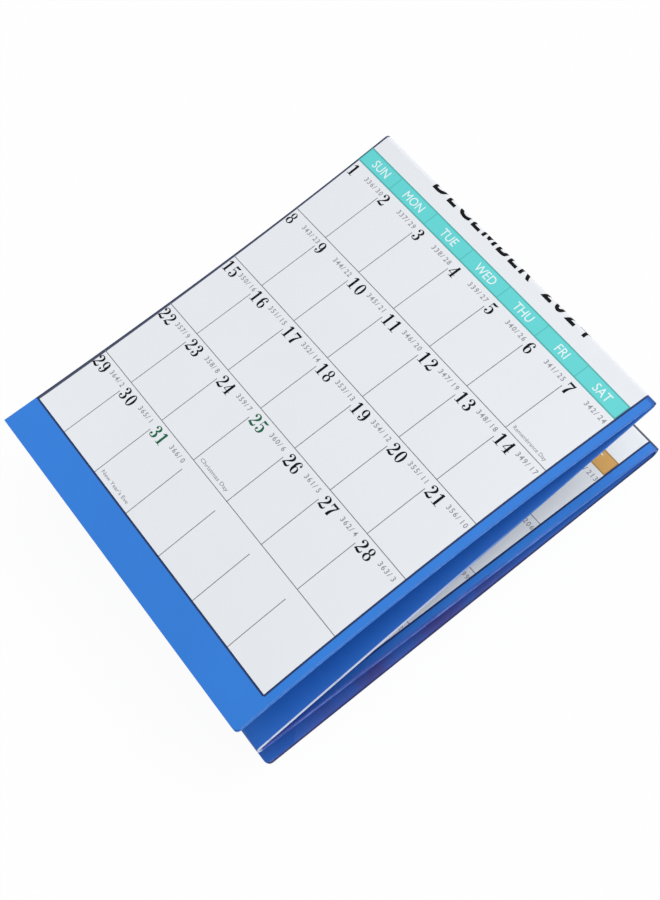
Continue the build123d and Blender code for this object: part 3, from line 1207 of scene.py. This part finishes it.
def capital_m():
    """An M drawn from given strokes, because the plain one fills in when it is bold."""
    stem, wide, arm = 1.4, 7.2, 0.6
    top = CAPITAL_HEIGHT - arm
    halfway = CAPITAL_HEIGHT / 2
    whole = flat_shape(bar(0.0, 0.0, stem, CAPITAL_HEIGHT))
    for outlines in (
        bar(wide - stem, 0.0, wide, CAPITAL_HEIGHT),
        pen_stroke((0.7, top, 1.2), (2.15, halfway, 1.1), (3.6, arm, 1.0)),
        pen_stroke((6.5, top, 1.2), (5.05, halfway, 1.1), (3.6, arm, 1.0)),
    ):
        whole = united(whole, flat_shape(outlines))
    return taken(whole)


def print_title(layer, month):
    """The title over a band, its letters cut finely where they run over a crease."""
    letters = []
    along = 0.0
    for letter in f"{month.upper()} {YEAR}":
        if letter == " ":
            along += TITLE_SPACE
            continue
        drawn = capital_m() if letter == "M" else words(letter, TITLE_SIZE, FINE_TYPE, TITLE_BOLD)
        drawn = scaled(drawn, TITLE_WIDENING, 1.0)
        left, right = ends_of(drawn)
        letters.append((drawn, along - left))
        along += right - left + TITLE_GAP
    start = TITLE_MIDDLE - (along - TITLE_GAP) / 2
    foot = band_foot(layer) + HEADER_HEIGHT + TITLE_RISE
    strip_middle = band_foot(layer) + TITLE_HEIGHT / 2
    crease = min(CREASE_HEIGHTS, key=lambda height: abs(height - strip_middle))
    cuts = [crease + step * CREASE_CUTS for step in range(-CUTS_BESIDE_CREASE, CUTS_BESIDE_CREASE + 1)]
    placed = [(drawn, start + place, foot) for drawn, place in letters]
    laid_print(month + "_title", placed, INK_BASE, black, cuts)


for layer, month in enumerate(MONTHS):
    print_days(layer, month)
    print_weekdays(layer, month)
    print_title(layer, month)


# Camera, table, room and light

def add_camera():
    lens = bpy.data.cameras.new("camera")
    lens.sensor_fit = "VERTICAL"
    lens.sensor_height = SENSOR_HEIGHT
    lens.lens = FOCAL_PIXELS * SENSOR_HEIGHT / IMAGE_HEIGHT
    lens.clip_start = NEAREST_SEEN
    camera = bpy.data.objects.new("camera", lens)
    bpy.context.scene.collection.objects.link(camera)
    axes = Matrix((CAMERA_RIGHT, -CAMERA_DOWN, -CAMERA_FORWARD)).transposed()
    camera.matrix_world = Matrix.Translation(CAMERA_PLACE) @ axes.to_4x4()
    bpy.context.scene.camera = camera


def white_to_the_eye(paint, seen_share):
    """Share of plain white that a surface shows to the camera, and through gloss and glass."""
    path = paint.node("LightPath").outputs
    total = path["Is Camera Ray"]
    for ray in ("Is Glossy Ray", "Is Transmission Ray"):
        total = paint.math("ADD", total, path[ray])
        total.node.use_clamp = True
    return paint.times(total, seen_share)


def add_table():
    bpy.ops.mesh.primitive_plane_add(size=TABLE_SIZE, location=(0, 0, TABLE_LEVEL))
    table = bpy.context.object
    table.name = "floor"
    material = bpy.data.materials.new("pale_table")
    material.use_nodes = True
    paint = Painter(material.node_tree)
    paint.nodes.clear()
    matt = paint.node("BsdfDiffuse", {"Color": TABLE_GREY}).outputs[0]
    glow = paint.node("Emission").outputs[0]
    share = white_to_the_eye(paint, TABLE_WHITENESS)
    both = paint.node("MixShader", {0: share, 1: matt, 2: glow}).outputs[0]
    paint.node("OutputMaterial", {"Surface": both})
    table.data.materials.append(material)


def add_world():
    world = bpy.data.worlds.new("pale_room")
    world.use_nodes = True
    paint = Painter(world.node_tree)
    background = paint.nodes["Background"].inputs
    seen = {"Value": white_to_the_eye(paint, 1.0), "To Min": ROOM_LIGHT, "To Max": 1.0}
    paint.feed(background["Color"], (1, 1, 1))
    paint.feed(background["Strength"], paint.node("MapRange", seen).outputs[0])
    bpy.context.scene.world = world


def add_sun():
    """Soft even light from one side of the room."""
    lamp = bpy.data.lights.new("soft_key", "SUN")
    lamp.energy = SUN_STRENGTH
    lamp.angle = SUN_SPREAD
    holder = bpy.data.objects.new("soft_key", lamp)
    bpy.context.scene.collection.objects.link(holder)
    holder.rotation_euler = (-SUN_TOWARDS).to_track_quat("-Z", "Y").to_euler()


clear_selection()
add_camera()
add_table()
add_world()
add_sun()
bpy.context.scene.view_settings.view_transform = "Standard"
